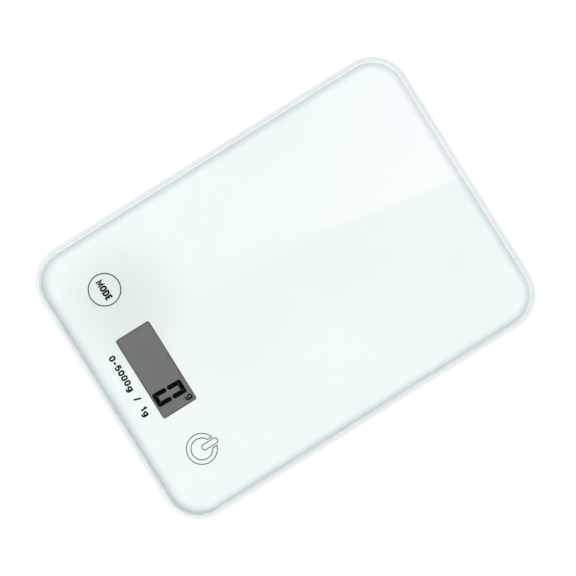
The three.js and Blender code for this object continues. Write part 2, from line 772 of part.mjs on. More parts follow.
/** The door: a plate that turns on a barrel at its left end and clips shut at its right end. */
function batteryDoor() {
  const { thickness, right, halfY, gap } = DOOR;
  const plate = block(
    [HINGE.x, BAY.y - halfY, ISLAND.bottom],
    [right, BAY.y + halfY, ISLAND.bottom + thickness],
  );
  const barrel = rodAlongY(
    BARREL_RADIUS,
    HINGE.x,
    HINGE.z,
    BAY.y - halfY,
    BAY.y + halfY,
    24,
  );
  const pinEnd = halfY + gap + HINGE.pinLength - 0.3;
  const pins = rodAlongY(
    HINGE.pinRadius,
    HINGE.x,
    HINGE.z,
    BAY.y - pinEnd,
    BAY.y + pinEnd,
    12,
  );
  const slots = [-1, 1].map((side) => {
    const y = BAY.y + side * (LATCH.halfY + 1);
    return block([right - 8, y - 0.5, 0], [right + 1, y + 0.5, LATCH.top]);
  });
  const grip = [0, 1, 2].map((i) => {
    const x = right - 6 + 1.8 * i;
    return block([x, BAY.y - LATCH.halfY + 0.5, 0], [x + 0.7, BAY.y + LATCH.halfY - 0.5, 1.9]);
  });
  const tab = join(
    block(
      [LATCH.left, BAY.y - LATCH.halfY, ISLAND.bottom + 0.5],
      [LATCH.right, BAY.y + LATCH.halfY, LATCH.top],
    ),
    block(
      [LATCH.left, BAY.y - LATCH.halfY, LATCH.hookBottom],
      [LATCH.right + LATCH.hook, BAY.y + LATCH.halfY, LATCH.hookBottom + 0.8],
    ),
  );
  const door = join(cut(join(plate, barrel, pins), ...slots, ...grip), tab);
  return piece("battery_door", geometryOf(door), housingMaterial);
}

// ---- Leads ----

function lead(name, points, material, radius) {
  const curve = new THREE.CatmullRomCurve3(points.map((p) => new THREE.Vector3(...p)));
  const step = 2;
  const steps = Math.round(curve.getLength() / step);
  return piece(name, tube(curve, radius, steps, LEAD_SIDES), material);
}

/** Each gauge's lead rises through the well's roof and ends under the board. */
function gaugeLeads() {
  const start = GAUGE_TOP + LAYER_GAP;
  const over = (WELL.top + WELL.roof + BOARD.bottom) / 2;
  const floor = FLOOR_TOP + 1.1;
  const seatSide = FOOT.x - FOOT.side / 2 - WELL.gap - WELL.wall;
  const end = BOARD.bottom - 0.5;
  const gaugeY = FOOT.y + GAUGE.y;
  const rise = (side, y) => [
    [side * FOOT.x, y, start],
    [side * FOOT.x, y, start + 1],
    [side * (FOOT.x - 1), y, over - 0.3],
    [side * (FOOT.x - 2.5), y, over],
    [side * (seatSide + 6), y, over],
    [side * (seatSide - 0.5), y, over],
  ];
  const front = (side) => [
    ...rise(side, -gaugeY),
    [side * 27, -gaugeY - 1, floor + 1],
    [side * 22, -gaugeY - 2, floor],
    [side * 17, -gaugeY - 3, floor + 0.4],
    [side * 13.5, -gaugeY - 4, floor + 1.6],
    [side * 13, -gaugeY - 4, end],
  ];
  const back = (side) => [
    ...rise(side, gaugeY),
    [side * 28, gaugeY - 2, floor + 0.8],
    [side * 28, gaugeY - 10, floor],
    [side * 37, 48, floor],
    [side * 40, 30, floor],
    [side * 41, 5, floor],
    [side * 42, -25, floor],
    [side * 41, -47, floor],
    [side * 36, -55, floor],
    [side * 29, -58, floor],
    [side * 25, -62, floor],
    [side * 23.6, -67, floor + 1],
    [side * 23.4, -69.5, floor + 1.9],
    [side * 23.4, -70, end],
  ];
  return [
    lead("gauge_lead_front_left", front(-1), siliconeMaterial, GAUGE_LEAD_RADIUS),
    lead("gauge_lead_front_right", front(1), siliconeMaterial, GAUGE_LEAD_RADIUS),
    lead("gauge_lead_back_left", back(-1), siliconeMaterial, GAUGE_LEAD_RADIUS),
    lead("gauge_lead_back_right", back(1), siliconeMaterial, GAUGE_LEAD_RADIUS),
  ];
}

/** The two battery leads leave through the notches in the bay's left wall. */
function batteryLeads() {
  const start = -BAY.halfX + 0.2 - 0.3;
  const end = BOARD.bottom - 0.5;
  const route = (side, shift) => {
    const y = BAY.y + (side * BATTERY.pitch) / 2;
    return [
      [start, y, 11.7],
      [start - 1.6, y, 11.6],
      [start - 3.6, y - 1.5, 10.5],
      [-31 - 1.5 * shift, y - 8, 9],
      [-30.5 - shift, -53, 8.6],
      [-28 - shift, -57.5, 8.3],
      [-26 - shift, -63, 8.3],
      [-25.6 - shift, -66.5, 8.5],
      [-25.5 - shift, -67, end],
    ];
  };
  return [
    lead("battery_lead_negative", route(-1, 0), blackMaterial, BATTERY_LEAD_RADIUS),
    lead("battery_lead_positive", route(1, 2), redMaterial, BATTERY_LEAD_RADIUS),
  ];
}

// ---- Assembly ----

const scale = new THREE.Group();
scale.add(
  glassPlatform(),
  backPrint(),
  bondingTape(),
  housing(),
  ratingLabel(),
  lcdPanel(),
  lcdFrame(),
  lcdConnector(),
  mainBoard(),
  controllerChip(),
  touchSpring("touch_spring_unit", UNIT_KEY_X),
  touchSpring("touch_spring_power", POWER_KEY_X),
  ...screwPlaces.map(boardScrew),
  ...footPlaces.map(footUnit),
  battery("battery_front", -1),
  battery("battery_back", 1),
  ...batteryContacts(),
  batteryDoor(),
  ...gaugeLeads(),
  ...batteryLeads(),
);

export default scale;
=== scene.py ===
import json
import math

import bmesh
import bpy
from mathutils import Matrix, Vector


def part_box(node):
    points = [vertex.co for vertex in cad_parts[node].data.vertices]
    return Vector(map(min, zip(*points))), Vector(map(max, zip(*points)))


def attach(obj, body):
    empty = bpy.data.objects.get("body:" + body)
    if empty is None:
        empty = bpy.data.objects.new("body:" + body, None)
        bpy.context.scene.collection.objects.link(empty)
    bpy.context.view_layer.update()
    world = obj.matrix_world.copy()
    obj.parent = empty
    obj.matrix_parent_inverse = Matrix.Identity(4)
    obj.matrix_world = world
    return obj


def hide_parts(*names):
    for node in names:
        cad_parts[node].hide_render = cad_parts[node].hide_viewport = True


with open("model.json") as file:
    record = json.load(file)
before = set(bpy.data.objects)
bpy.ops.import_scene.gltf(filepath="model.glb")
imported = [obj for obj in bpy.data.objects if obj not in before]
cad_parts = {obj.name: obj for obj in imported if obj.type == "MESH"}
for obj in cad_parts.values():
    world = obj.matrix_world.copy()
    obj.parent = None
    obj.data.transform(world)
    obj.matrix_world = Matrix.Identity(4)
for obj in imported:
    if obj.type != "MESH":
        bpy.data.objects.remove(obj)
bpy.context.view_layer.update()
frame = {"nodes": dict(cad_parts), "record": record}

# The kitchen scale's looks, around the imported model. Lengths are in millimetres where a comment
# doesn't say otherwise, and MM turns them into Blender's metres. +Y points away from the user, and
# +X to the user's right.
MM = 0.001
ROOT = "scale_body"

HALF_X, HALF_Y, CORNER = 80.0, 110.0, 20.0  # the object's outline
RIM = 2.2  # the housing's lip, around the glass
GLASS_INSET = RIM - 0.25  # from the outline in to the glass's edge
PRINT_INSET = RIM - 0.2
GLASS_TOP, GLASS_BOTTOM = 18.0, 14.0
PRINT_TOP, PRINT_BOTTOM = 13.9, 13.75
INK_LEVELS = (13.91, 13.94)
READING_LEVELS = (13.62, 13.66)
WINDOW = {"x": 0.35, "y": -78.4, "half_x": 23.65, "half_y": 10.1, "corner": 1.2}

# ---- The marks on the print and the reading on the display; "line" is a line's width ----
UNIT_KEY = {"x": -48.5, "y": -79.1, "radius": 8.35, "line": 0.65}
UNIT_WORD = {"left": -53.9, "right": -43.1, "base": -81.2, "height": 3.7, "line": 0.92}
POWER_KEY = {"x": 47.15, "y": -80.0, "outer": 7.95, "inner": 5.6, "half_gap": 2.55, "line": 0.5}
POWER_BAR = {"y": -75.2, "half_x": 1.45, "half_y": 4.55, "corner": 1.449}
LIMITS = {"base": -96.1, "height": 3.3, "line": 0.9}
LIMIT_WORDS = (("0-5000g", -17.6, 3.0), ("/", 7.3, 8.7), ("1g", 13.0, 17.9))
DIGIT = {"left": 10.0, "right": 17.7, "base": -87.4, "top": -70.7, "thick": 2.45, "gap": 0.14}
DIGIT_CORNER = 0.55  # cut off where a stroke turns the figure's outer corner
DIGIT_POINT = 0.8  # height of the point that an upright stroke ends in
DIGIT_LEAN = 0.035
DIGIT_UNIT = {"left": 19.5, "right": 22.4, "base": -72.3, "height": 3.6, "line": 0.75}

# ---- The feet below ----
CUP = {"half": 17, "corner": 8, "bottom": 1.2, "top": 6.2, "cavity_floor": 2.6, "shelf": 3.9}
PAD = {"half": 14.5, "corner": 6, "top": 1.15, "groove": 0.35}
PAD_RIDGES = (11.2, 7.6, 4.0)  # how far in each ridge starts
BATTERIES_Y = -38  # the line between the two cells

# ---- Camera: straight above, turned so that the scale lies slantwise in the picture ----
FIELD = 295.0  # width of what the picture takes in at the glass
CAMERA_HEIGHT = 2500.0
SENSOR = 36.0
TURN = math.radians(58)
CAMERA_AT = (0.6, 1.15)
FAR_CLIP = 50000.0


def make_camera():
    """A long lens straight above, whose picture takes in FIELD at the glass."""
    data = bpy.data.cameras.new("camera")
    data.sensor_width = SENSOR
    data.lens = SENSOR * CAMERA_HEIGHT / FIELD
    data.clip_end = FAR_CLIP * MM
    camera = bpy.data.objects.new("camera", data)
    bpy.context.scene.collection.objects.link(camera)
    x, y = CAMERA_AT
    camera.location = (x * MM, y * MM, (CAMERA_HEIGHT + GLASS_TOP) * MM)
    camera.rotation_euler = (0, 0, TURN)
    bpy.context.scene.camera = camera


# ---- Node trees ----


def add_node(tree, kind, inputs=None, **settings):
    """A node with its settings and its inputs, each a value or the socket that feeds it."""
    made = tree.nodes.new(kind)
    for key, value in settings.items():
        setattr(made, key, value)
    for key, value in (inputs or {}).items():
        if isinstance(value, bpy.types.NodeSocket):
            tree.links.new(value, made.inputs[key])
        else:
            made.inputs[key].default_value = value
    return made


def math_node(tree, operation, *values, clamp=False):
    """The result of a Math node, whose values are numbers or sockets."""
    inputs = dict(enumerate(values))
    made = add_node(tree, "ShaderNodeMath", inputs, operation=operation, use_clamp=clamp)
    return made.outputs[0]


def coordinates(tree):
    """The object's own coordinates."""
    return add_node(tree, "ShaderNodeTexCoord").outputs["Object"]


def noise(tree, scale, detail=2.0, vector=None, distortion=0.0):
    """Noise from 0 to 1, with scale in repeats per metre."""
    inputs = {
        "Vector": vector or coordinates(tree),
        "Scale": scale,
        "Detail": detail,
        "Distortion": distortion,
    }
    return add_node(tree, "ShaderNodeTexNoise", inputs).outputs[0]


def remap(tree, value, from_low, from_high, to_low, to_high):
    """Carries a value over from one range to another, and holds it within that."""
    inputs = {
        "Value": value,
        "From Min": from_low,
        "From Max": from_high,
        "To Min": to_low,
        "To Max": to_high,
    }
    return add_node(tree, "ShaderNodeMapRange", inputs).outputs[0]


def mix_colour(tree, factor, first, second):
    """Blends two colours, each four numbers or a socket, by the colour sockets of a Mix node."""
    made = add_node(tree, "ShaderNodeMix", data_type="RGBA")
    for index, value in ((0, factor), (6, first), (7, second)):
        if isinstance(value, bpy.types.NodeSocket):
            tree.links.new(value, made.inputs[index])
        else:
            made.inputs[index].default_value = value
    return made.outputs[2]


def bump(tree, height, distance):
    """A surface's relief, from a height of 0 to 1 and its depth in millimetres."""
    inputs = {"Height": height, "Distance": distance * MM, "Strength": 1.0}
    return add_node(tree, "ShaderNodeBump", inputs).outputs[0]


def start_material(name):
    """A new material, with its node tree and its shader."""
    material = bpy.data.materials.new(name)
    material.use_nodes = True
    tree = material.node_tree
    shader = tree.nodes["Principled BSDF"]
    return material, tree, shader


def feed(tree, shader, **sockets):
    """Links sockets to the shader's inputs of these plain names."""
    names = {"colour": "Base Color", "roughness": "Roughness", "normal": "Normal"}
    for key, socket in sockets.items():
        tree.links.new(socket, shader.inputs[names[key]])


def rgb(red, green, blue):
    """An opaque colour."""
    return (red, green, blue, 1.0)


# ---- Materials ----


def moulded_plastic(name, colour, roughness=0.42):
    """Moulded plastic: a fine spark-eroded grain, and colour that drifts a little."""
    grain, shade = 0.012, 0.04
    material, tree, shader = start_material(name)
    drift = noise(tree, 25, detail=3)
    darker = rgb(*[c * (1 - shade) for c in colour])
    mottled = mix_colour(tree, remap(tree, drift, 0.3, 0.7, 0, 1), rgb(*colour), darker)
    fine = noise(tree, 2600, detail=3)
    gloss = remap(tree, noise(tree, 400), 0.3, 0.7, roughness - 0.05, roughness + 0.06)
    feed(tree, shader, colour=mottled, roughness=gloss, normal=bump(tree, fine, grain))
    return material


def distance_inside(tree, half_x, half_y, corner):
    """How far, in millimetres, a point lies inside a rounded rectangle about the origin."""
    split = add_node(tree, "ShaderNodeSeparateXYZ", {0: coordinates(tree)})
    over = []
    for axis, half in ((0, half_x), (1, half_y)):
        away = math_node(tree, "ABSOLUTE", split.outputs[axis])
        over.append(math_node(tree, "SUBTRACT", away, (half - corner) * MM))
    outside = [math_node(tree, "MAXIMUM", value, 0.0) for value in over]
    squares = [math_node(tree, "MULTIPLY", value, value) for value in outside]
    reach = math_node(tree, "SQRT", math_node(tree, "ADD", *squares))
    inner = math_node(tree, "MINIMUM", math_node(tree, "MAXIMUM", *over), 0.0)
    signed = math_node(tree, "SUBTRACT", math_node(tree, "ADD", reach, inner), corner * MM)
    return math_node(tree, "MULTIPLY", signed, -1 / MM), split


def patch(tree, split, x, y, reach_x, reach_y):
    """A soft round patch, 1 at (x, y) and 0 from its reach outwards."""
    across = remap(tree, split.outputs[0], (x - reach_x) * MM, (x + reach_x) * MM, -1, 1)
    along = remap(tree, split.outputs[1], (y - reach_y) * MM, (y + reach_y) * MM, -1, 1)
    squares = [math_node(tree, "MULTIPLY", value, value) for value in (across, along)]
    return math_node(tree, "SUBTRACT", 1.0, math_node(tree, "ADD", *squares), clamp=True)


def painted_edge_shade(tree):
    """How strongly painted shade along the glass's edge darkens the print, from 0 to 1, and the
    point's coordinates.

    The painted shade darkens quickly from the plate's edge and fades slowly inwards. It is widest
    at the front, narrowest on the right, and darkest at the front and on the right.
    """
    front_reach, reach, front_depth = 6.9, 5.3, 20
    front_strength, back_strength = 0.7, 0.63
    depth, split = distance_inside(tree, HALF_X - RIM, HALF_Y - RIM, CORNER - RIM)
    x, y = split.outputs[0], split.outputs[1]
    front, back = -HALF_Y * MM, HALF_Y * MM
    rise = math_node(tree, "POWER", remap(tree, depth, 0.0, 1.6, 0.0, 1.0), 0.75)
    widest = remap(tree, y, front, (front_depth - HALF_Y) * MM, front_reach, reach)
    narrower = remap(tree, x, 0, HALF_X * MM, 0, 0.7)
    fades_at = math_node(tree, "SUBTRACT", widest, narrower)
    fall = math_node(tree, "POWER", remap(tree, depth, 1.0, fades_at, 1.0, 0.0), 1.5)
    strongest = remap(tree, y, front, back, front_strength, back_strength)
    strength = math_node(tree, "ADD", strongest, remap(tree, x, 0, HALF_X * MM, 0, 0.09))
    shape = math_node(tree, "MULTIPLY", rise, fall)
    return math_node(tree, "MULTIPLY", shape, strength), split


def print_material():
    """White print on the back of the glass, a little uneven, with painted shade along its edge and
    in two faint patches.
    """
    material, tree, shader = start_material("white_print")
    field = rgb(0.832, 0.872, 0.871)
    # Painted shade along the glass's edge: edge is its darkest colour, and band is how strongly it
    # darkens the print
    edge = rgb(0.41, 0.475, 0.485)
    band, split = painted_edge_shade(tree)
    cloud = remap(tree, noise(tree, 14, detail=1), 0.35, 0.65, 0.0, 1.0)
    soft = mix_colour(tree, cloud, field, rgb(0.819, 0.862, 0.86))
    # Painted shade: a faint dark patch beside the left key, and a fainter one down the middle
    painted_shade_by_key = math_node(tree, "MULTIPLY", patch(tree, split, -37, -74, 36, 34), 0.115)
    painted_shade_down_middle = math_node(tree, "MULTIPLY", patch(tree, split, -2, -10, 34, 75), 0.025)
    cloud_and_painted_shade = mix_colour(tree, math_node(tree, "ADD", painted_shade_by_key, painted_shade_down_middle), soft, rgb(0, 0, 0))
    feed(tree, shader, colour=mix_colour(tree, band, cloud_and_painted_shade, edge))
    fine = noise(tree, 1500, detail=2)
    feed(tree, shader, normal=bump(tree, fine, 0.004))
    shader.inputs["Roughness"].default_value = 0.55
    shader.inputs["Specular IOR Level"].default_value = 0.0
    return material


def glass_material():
    """Clear glass with a green cast, which lets lamps reach the print behind it."""
    material, tree, shader = start_material("platform_glass")
    shader.inputs["Transmission Weight"].default_value = 1.0
    shader.inputs["IOR"].default_value = 1.52
    shader.inputs["Base Color"].default_value = rgb(0.985, 1.0, 0.997)
    smears = noise(tree, 30, detail=4, distortion=0.6)
    feed(tree, shader, roughness=remap(tree, smears, 0.4, 0.75, 0.0, 0.025))
    clear = add_node(tree, "ShaderNodeBsdfTransparent", {"Color": rgb(0.99, 1.0, 0.998)})
    path = add_node(tree, "ShaderNodeLightPath")
    mixed = add_node(
        tree,
        "ShaderNodeMixShader",
        {0: path.outputs["Is Shadow Ray"], 1: shader.outputs[0], 2: clear.outputs[0]},
    )
    tree.links.new(mixed.outputs[0], tree.nodes["Material Output"].inputs["Surface"])
    return material


def glass_edge_material():
    """The glass's polished edge: pale green, as the glass's light gathers there, and streaked."""
    material, tree, shader = start_material("glass_edge")
    place = add_node(tree, "ShaderNodeMapping", {0: coordinates(tree), "Scale": (1, 1, 8)})
    marks = noise(tree, 500, detail=4, vector=place.outputs[0])
    tint = mix_colour(tree, marks, rgb(0.84, 0.91, 0.92), rgb(0.92, 0.96, 0.97))
    feed(tree, shader, colour=tint, normal=bump(tree, marks, 0.006))
    feed(tree, shader, roughness=remap(tree, marks, 0.3, 0.7, 0.3, 0.45))
    return material


def ink_material(name, colour):
    """Screen-printed ink: nearly even, with fine pinholes of lighter tone."""
    material, tree, shader = start_material(name)
    specks = remap(tree, noise(tree, 1800, detail=3), 0.62, 0.8, 0.0, 0.25)
    lighter = rgb(*[min(1.0, c + 0.05) for c in colour])
    feed(tree, shader, colour=mix_colour(tree, specks, rgb(*colour), lighter))
    shader.inputs["Roughness"].default_value = 0.6
    shader.inputs["Specular IOR Level"].default_value = 0.0
    return material


def lcd_material():
    """The panel's grey field, a little darker and bluer where the window's edge shades it."""
    material, tree, shader = start_material("lcd_field")
    split = add_node(tree, "ShaderNodeSeparateXYZ", {0: coordinates(tree)})
    inside = []
    for axis, centre, half in (
        (0, WINDOW["x"], WINDOW["half_x"]),
        (1, WINDOW["y"], WINDOW["half_y"]),
    ):
        away = math_node(tree, "SUBTRACT", split.outputs[axis], centre * MM)
        away = math_node(tree, "ABSOLUTE", away)
        inside.append(math_node(tree, "SUBTRACT", half * MM, away))
    depth = math_node(tree, "MINIMUM", *inside)
    shade = remap(tree, depth, 0.0, 1.3 * MM, 1.0, 0.0)
    grain = remap(tree, noise(tree, 900, detail=3), 0.35, 0.65, 0.0, 1.0)
    grey = mix_colour(tree, grain, rgb(0.169, 0.172, 0.169), rgb(0.176, 0.179, 0.176))
    feed(tree, shader, colour=mix_colour(tree, shade, grey, rgb(0.102, 0.115, 0.13)))
    feed(tree, shader, roughness=remap(tree, grain, 0, 1, 0.3, 0.36))
    shader.inputs["Specular IOR Level"].default_value = 0.0
    return material


def rubber_material():
    """Soft grey rubber, blotchy and matt."""
    material, tree, shader = start_material("soft_rubber")
    blotch = remap(tree, noise(tree, 90, detail=4), 0.35, 0.7, 0.0, 1.0)
    colour = mix_colour(tree, blotch, rgb(0.50, 0.51, 0.53), rgb(0.40, 0.41, 0.43))
    fine = noise(tree, 1800, detail=4)
    feed(tree, shader, colour=colour, normal=bump(tree, fine, 0.03))
    feed(tree, shader, roughness=remap(tree, fine, 0.3, 0.7, 0.7, 0.9))
    return material


def metal_material(name, colour, roughness):
    """Sheet or wire metal, with fine drawn streaks along X."""
    stretch = (1, 12, 12)
    material, tree, shader = start_material(name)
    place = add_node(tree, "ShaderNodeMapping", {0: coordinates(tree), "Scale": stretch})
    streak = noise(tree, 260, detail=5, vector=place.outputs[0])
    dark = rgb(*[c * 0.8 for c in colour])
    feed(tree, shader, colour=mix_colour(tree, streak, dark, rgb(*colour)))
    feed(tree, shader, roughness=remap(tree, streak, 0.3, 0.7, roughness, roughness + 0.15))
    feed(tree, shader, normal=bump(tree, streak, 0.01))
    shader.inputs["Metallic"].default_value = 1.0
    return material


def board_material():
    """Green solder mask over copper, whose tracks show as paler bands."""
    material, tree, shader = start_material("solder_mask")
    inputs = {"Vector": coordinates(tree), "Scale": 160.0}
    cells = add_node(tree, "ShaderNodeTexBrick", inputs, offset=0.37, squash=0.6)
    tracks = cells.outputs["Fac"]
    weave = noise(tree, 900, detail=2)
    green = mix_colour(tree, weave, rgb(0.012, 0.10, 0.035), rgb(0.02, 0.14, 0.05))
    feed(tree, shader, colour=mix_colour(tree, tracks, green, rgb(0.04, 0.24, 0.09)))
    feed(tree, shader, roughness=remap(tree, weave, 0.3, 0.7, 0.25, 0.4))
    feed(tree, shader, normal=bump(tree, tracks, 0.03))
    return material


def jacket_material():
    """A battery's foil jacket, with a metallic band round its positive third."""
    band_from = 8.5
    material, tree, shader = start_material("battery_foil")
    split = add_node(tree, "ShaderNodeSeparateXYZ", {0: coordinates(tree)})
    row = math_node(tree, "GREATER_THAN", split.outputs[1], BATTERIES_Y * MM)
    turn = remap(tree, row, 0, 1, 1.0, -1.0)
    along = math_node(tree, "MULTIPLY", split.outputs[0], turn)
    band = math_node(tree, "GREATER_THAN", along, band_from * MM)
    fine = noise(tree, 500, detail=3)
    blue = mix_colour(tree, fine, rgb(0.02, 0.05, 0.19), rgb(0.03, 0.07, 0.24))
    feed(tree, shader, colour=mix_colour(tree, band, blue, rgb(0.72, 0.48, 0.2)))
    feed(tree, shader, roughness=remap(tree, fine, 0.3, 0.7, 0.22, 0.34))
    shader.inputs["Metallic"].default_value = 0.6
    return material


def insulation_material(name, colour):
    """A lead's plastic, with fine variation in tone and gloss."""
    material, tree, shader = start_material(name)
    fine = noise(tree, 700, detail=3)
    pale = rgb(*[min(1.0, c * 1.2 + 0.01) for c in colour])
    feed(tree, shader, colour=mix_colour(tree, fine, rgb(*colour), pale))
    feed(tree, shader, roughness=remap(tree, fine, 0.3, 0.7, 0.4, 0.55))
    return material


def foam_material():
    """Foam tape, with open pores."""
    material, tree, shader = start_material("foam_tape")
    pores = noise(tree, 1500, detail=4)
    colour = mix_colour(tree, pores, rgb(0.62, 0.64, 0.64), rgb(0.80, 0.82, 0.82))
    feed(tree, shader, colour=colour, normal=bump(tree, pores, 0.05))
    shader.inputs["Roughness"].default_value = 0.9
    return material


# ---- Shapes ----


def rounded_rectangle(half_x, half_y, radius, steps=16, x=0.0, y=0.0):
    """Points anticlockwise round a rectangle with round corners."""
    points = []
    for quarter in range(4):
        side_x = (1, -1, -1, 1)[quarter]
        side_y = (1, 1, -1, -1)[quarter]
        centre_x = x + side_x * (half_x - radius)
        centre_y = y + side_y * (half_y - radius)
        for i in range(steps + 1):
            angle = (quarter + i / steps) * math.pi / 2
            points.append(
                (centre_x + radius * math.cos(angle), centre_y + radius * math.sin(angle))
            )
    return points


def arc(radius, start, end, steps, x=0.0, y=0.0):
    """Points along an arc; the angles are in degrees."""
    angles = [math.radians(start + (end - start) * i / steps) for i in range(steps + 1)]
    return [(x + radius * math.cos(a), y + radius * math.sin(a)) for a in angles]


def add_piece(name, mesh, material, body=ROOT):
    """A piece of one material that rides on a body."""
    mesh.materials.clear()
    mesh.materials.append(material)
    piece = bpy.data.objects.new(name, mesh)
    bpy.context.scene.collection.objects.link(piece)
    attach(piece, body)
    return piece


def mesh_from_rings(name, rings, smooth_angle=30.0):
    """A closed skin through rings of (x, y, z), with a flat face over each end."""
    form = bmesh.new()
    loops = [[form.verts.new((x * MM, y * MM, z * MM)) for x, y, z in ring] for ring in rings]
    count = len(loops[0])
    for low, high in zip(loops, loops[1:]):
        for k in range(count):
            after = (k + 1) % count
            form.faces.new((low[k], low[after], high[after], high[k]))
    form.faces.new(list(reversed(loops[0])))
    form.faces.new(loops[-1])
    mesh = bpy.data.meshes.new(name)
    form.to_mesh(mesh)
    form.free()
    mesh.polygons.foreach_set("use_smooth", [True] * len(mesh.polygons))
    mesh.set_sharp_from_angle(angle=math.radians(smooth_angle))
    return mesh


def upright_prism(name, points, bottom, top):
    """A flat prism over an outline given in either direction round it."""
    turning = sum(a[0] * b[1] - b[0] * a[1] for a, b in zip(points, points[1:] + points[:1]))
    outline = points if turning > 0 else points[::-1]
    return mesh_from_rings(name, [[(x, y, z) for x, y in outline] for z in (bottom, top)])


def add_strip(form, points, width, bottom, top, closed):
    """Adds a flat line of that width along points to form, with mitred corners."""
    least_lean = 0.45  # keeps a sharp corner's mitre short
    count = len(points)
    path = [Vector(point) for point in points]
    sections = []
    for k, here in enumerate(path):
        steps = []
        if closed or k > 0:
            steps.append((here - path[k - 1]).normalized())
        if closed or k + 1 < count:
            steps.append((path[(k + 1) % count] - here).normalized())
        along = sum(steps, Vector((0, 0))).normalized()
        normal = Vector((along.y, -along.x))
        lean = max(least_lean, normal.dot(Vector((steps[0].y, -steps[0].x))))
        section = []
        for side, z in ((-1, bottom), (-1, top), (1, top), (1, bottom)):
            at = here + normal * (side * width / 2 / lean)
            section.append(form.verts.new((at.x * MM, at.y * MM, z * MM)))
        sections.append(section)
    pairs = list(zip(sections, sections[1:]))
    if closed:
        pairs.append((sections[-1], sections[0]))
    else:
        form.faces.new(sections[0])
        form.faces.new(sections[-1][::-1])
    for first, second in pairs:
        for i in range(4):
            after = (i + 1) % 4
            form.faces.new((first[i], second[i], second[after], first[after]))


def strips_mesh(name, strips, width, levels):
    """One mesh of several flat lines, each (points, closed)."""
    form = bmesh.new()
    for points, closed in strips:
        add_strip(form, points, width, *levels, closed)
    bmesh.ops.recalc_face_normals(form, faces=form.faces)
    mesh = bpy.data.meshes.new(name)
    form.to_mesh(mesh)
    form.free()
    return mesh


def bowl(x, y):
    """The round part of a small letter, as a closed line."""
    return arc(BOWL, 0, 345, 23, x, y), True


def rounded_slot(x, low, high, half):
    """An upright slot with half-round ends, between the heights low and high."""
    return arc(half, 0, 180, 12, x, high - half) + arc(half, 180, 360, 12, x, low + half)


def line(*points):
    """An open line through points."""
    return list(points), False


BOWL = 0.25  # radius of a small letter's round part, for capitals 1 high
LOWER_RIGHT = arc(0.28, -90, 0, 7, 0.28, 0.38)  # the round corners of a D
UPPER_RIGHT = arc(0.28, 0, 90, 7, 0.28, 0.62)
# Each letter's width and its lines, each (points, closed), for capitals 1 high
STROKES = {
    "M": (0.86, [line((0.1, 0), (0.1, 0.86), (0.43, 0.25), (0.76, 0.86), (0.76, 0))]),
    "O": (0.68, [(rounded_slot(0.34, 0.1, 0.9, 0.25), True)]),
    "D": (
        0.66,
        [line((0.1, 0.5), (0.1, 0.1), *LOWER_RIGHT, *UPPER_RIGHT, (0.1, 0.9), (0.1, 0.5))],
    ),
    "E": (
        0.5,
        [line((0.5, 0.9), (0.1, 0.9), (0.1, 0.1), (0.5, 0.1)), line((0.12, 0.5), (0.46, 0.5))],
    ),
    "0": (0.58, [(rounded_slot(0.29, 0.1, 0.9, 0.2), True)]),
    "5": (
        0.62,
        [line((0.54, 0.9), (0.16, 0.9), (0.12, 0.5), *arc(0.25, 115, -140, 16, 0.29, 0.34))],
    ),
    "1": (0.5, [line((0.06, 0.72), (0.3, 0.9), (0.3, 0))]),
    "g": (0.7, [bowl(0.34, 0.35), line((0.6, 0.7), *arc(0.25, 0, -140, 10, 0.35, 0))]),
    "-": (0.5, [line((0.05, 0.42), (0.45, 0.42))]),
    "/": (0.5, [line((0.02, -0.1), (0.48, 1.05))]),
}


def lettering(text, left, right, base, height):
    """The lines of a word in plain strokes, spread from left to right on its baseline."""
    gap = 0.13  # between letters, for capitals 1 high
    width = sum(STROKES[letter][0] for letter in text) + gap * (len(text) - 1)
    stretch = (right - left) / width
    lines = []
    at = 0.0
    for letter in text:
        advance, strokes = STROKES[letter]
        for points, closed in strokes:
            placed = [(left + (at + px) * stretch, base + py * height) for px, py in points]
            lines.append((placed, closed))
        at += advance + gap
    return lines


def mesh_from_curve(name, curve):
    """The mesh of a flat, filled curve, and nothing left of the curve itself."""
    maker = bpy.data.objects.new(name + "_outline", curve)
    bpy.context.scene.collection.objects.link(maker)
    bpy.context.view_layer.update()
    graph = bpy.context.evaluated_depsgraph_get()
    mesh = bpy.data.meshes.new_from_object(maker.evaluated_get(graph))
    mesh.name = name
    bpy.data.objects.remove(maker)
    return mesh


def plate_mesh(name, loops, bottom, top):
    """A flat plate: the first loop is its outline and the others are holes."""
    curve = bpy.data.curves.new(name, "CURVE")
    curve.dimensions = "2D"
    curve.fill_mode = "BOTH"
    curve.extrude = (top - bottom) / 2 * MM
    for loop in loops:
        spline = curve.splines.new("POLY")
        spline.points.add(len(loop) - 1)
        for point, (x, y) in zip(spline.points, loop):
            point.co = (x * MM, y * MM, 0, 1)
        spline.use_cyclic_u = True
    mesh = mesh_from_curve(name, curve)
    mesh.transform(Matrix.Translation((0, 0, (top + bottom) / 2 * MM)))
    return mesh


def quarter_round(radius, z):
    """(inset, z) pairs up a round edge, from its flat underside at z."""
    steps = 5
    turns = [math.pi / 2 * i / steps for i in range(steps + 1)]
    return [(radius * (1 - math.sin(a)), z + radius * (1 - math.cos(a))) for a in turns]


